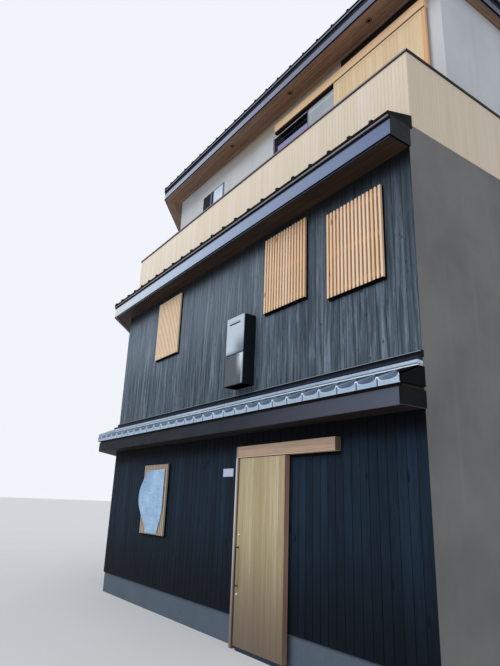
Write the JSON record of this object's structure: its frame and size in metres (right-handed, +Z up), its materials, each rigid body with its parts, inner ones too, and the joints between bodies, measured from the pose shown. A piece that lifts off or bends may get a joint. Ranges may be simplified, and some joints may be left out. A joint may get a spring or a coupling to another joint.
{
  "type": "machiya townhouse",
  "caption": "Three-storey timber townhouse on a corner plot: sliding door, lattice windows, tiled and metal pent roofs, balcony parapet and hipped top roof.",
  "frame": {"origin": "middle of the whole footprint, eaves included, at ground level", "axes": "+Z up, the street front faces -Y, the party wall is on +X and the cut corner on -X"},
  "size_m": [9.6725, 8.301, 10.0213],
  "materials": {
    "concrete": "plain cast concrete, blue-grey and matt",
    "dark_boards": "upright boards stained dark blue-black, matt",
    "grey_boards": "upright boards stained blue-grey, matt",
    "cement_render": "plain grey cement render",
    "floor_wood": "plain floor boards",
    "pale_render": "fine pale grey render, matt",
    "trim_wood": "planed wood, clear oiled",
    "door_wood": "upright narrow boards, weathered pale brown",
    "dark_iron": "matt dark brown paint",
    "lock_brass": "worn brass",
    "plate_plastic": "bare pale plate",
    "lattice_wood": "new pale cedar, planed",
    "sheet_cloth": "thin pale blue cotton sheet",
    "eaves_wood": "brown stained soffit boards",
    "roof_metal": "dark grey coated sheet, half gloss",
    "grey_tile": "silver-grey fired clay tiles with a slight sheen",
    "heater_dark": "dark casing",
    "heater_silver": "silver-grey coated covers",
    "parapet_wood": "pale upright cedar boards",
    "cap_metal": "grey-purple coated sheet",
    "shutter_wood": "pale shutter panel boards",
    "frame_aluminium": "silver anodised frames",
    "window_pane": "clear glass with a sky reflection"
  },
  "bodies": {
    "house": {"plinth": "concrete", "ground_floor": "concrete", "front_wall_left": "dark_boards", "front_wall_right": "dark_boards", "front_wall_over_door": "dark_boards", "middle_front_wall": "grey_boards", "corner_wall": "grey_boards", "left_wall": "grey_boards", "back_wall": "grey_boards", "party_wall": "cement_render", "middle_floor": "floor_wood", "top_floor": "floor_wood", "top_front_wall": "pale_render", "top_corner_wall": "pale_render", "top_side_walls": "pale_render", "top_back_wall": "pale_render", "door_jamb": "trim_wood", "door_header": "trim_wood", "blank_plate": "plate_plastic", "ground_lattice": "lattice_wood", "hung_sheet": "sheet_cloth", "left_lattice": "lattice_wood", "middle_lattice": "lattice_wood", "right_lattice": "lattice_wood", "low_roof_frame": "eaves_wood", "low_roof_trim": "roof_metal", "low_roof_tiles": "grey_tile", "heater_casing": "heater_dark", "heater_covers": "heater_silver", "high_roof_frame": "eaves_wood", "high_fascia": "roof_metal", "high_roof_sheet": "roof_metal", "parapet": "parapet_wood", "parapet_cap": "cap_metal", "shutter_rail": "trim_wood", "shutter_panel": "shutter_wood", "top_soffit": "eaves_wood", "top_fascia": "roof_metal", "top_roof_sheet": "roof_metal", "downlights": "dark_iron", "window_frames": "frame_aluminium", "window_glass": "window_pane"},
    "front_door": {"sliding_door": "door_wood", "door_pull": "dark_iron", "door_locks": "lock_brass"}
  },
  "joints": [
    {"name": "front_door_slide", "type": "slide", "parent": "house", "child": "front_door", "axis": [1, 0, 0], "range_m": [0, 0.8]}
  ]
}
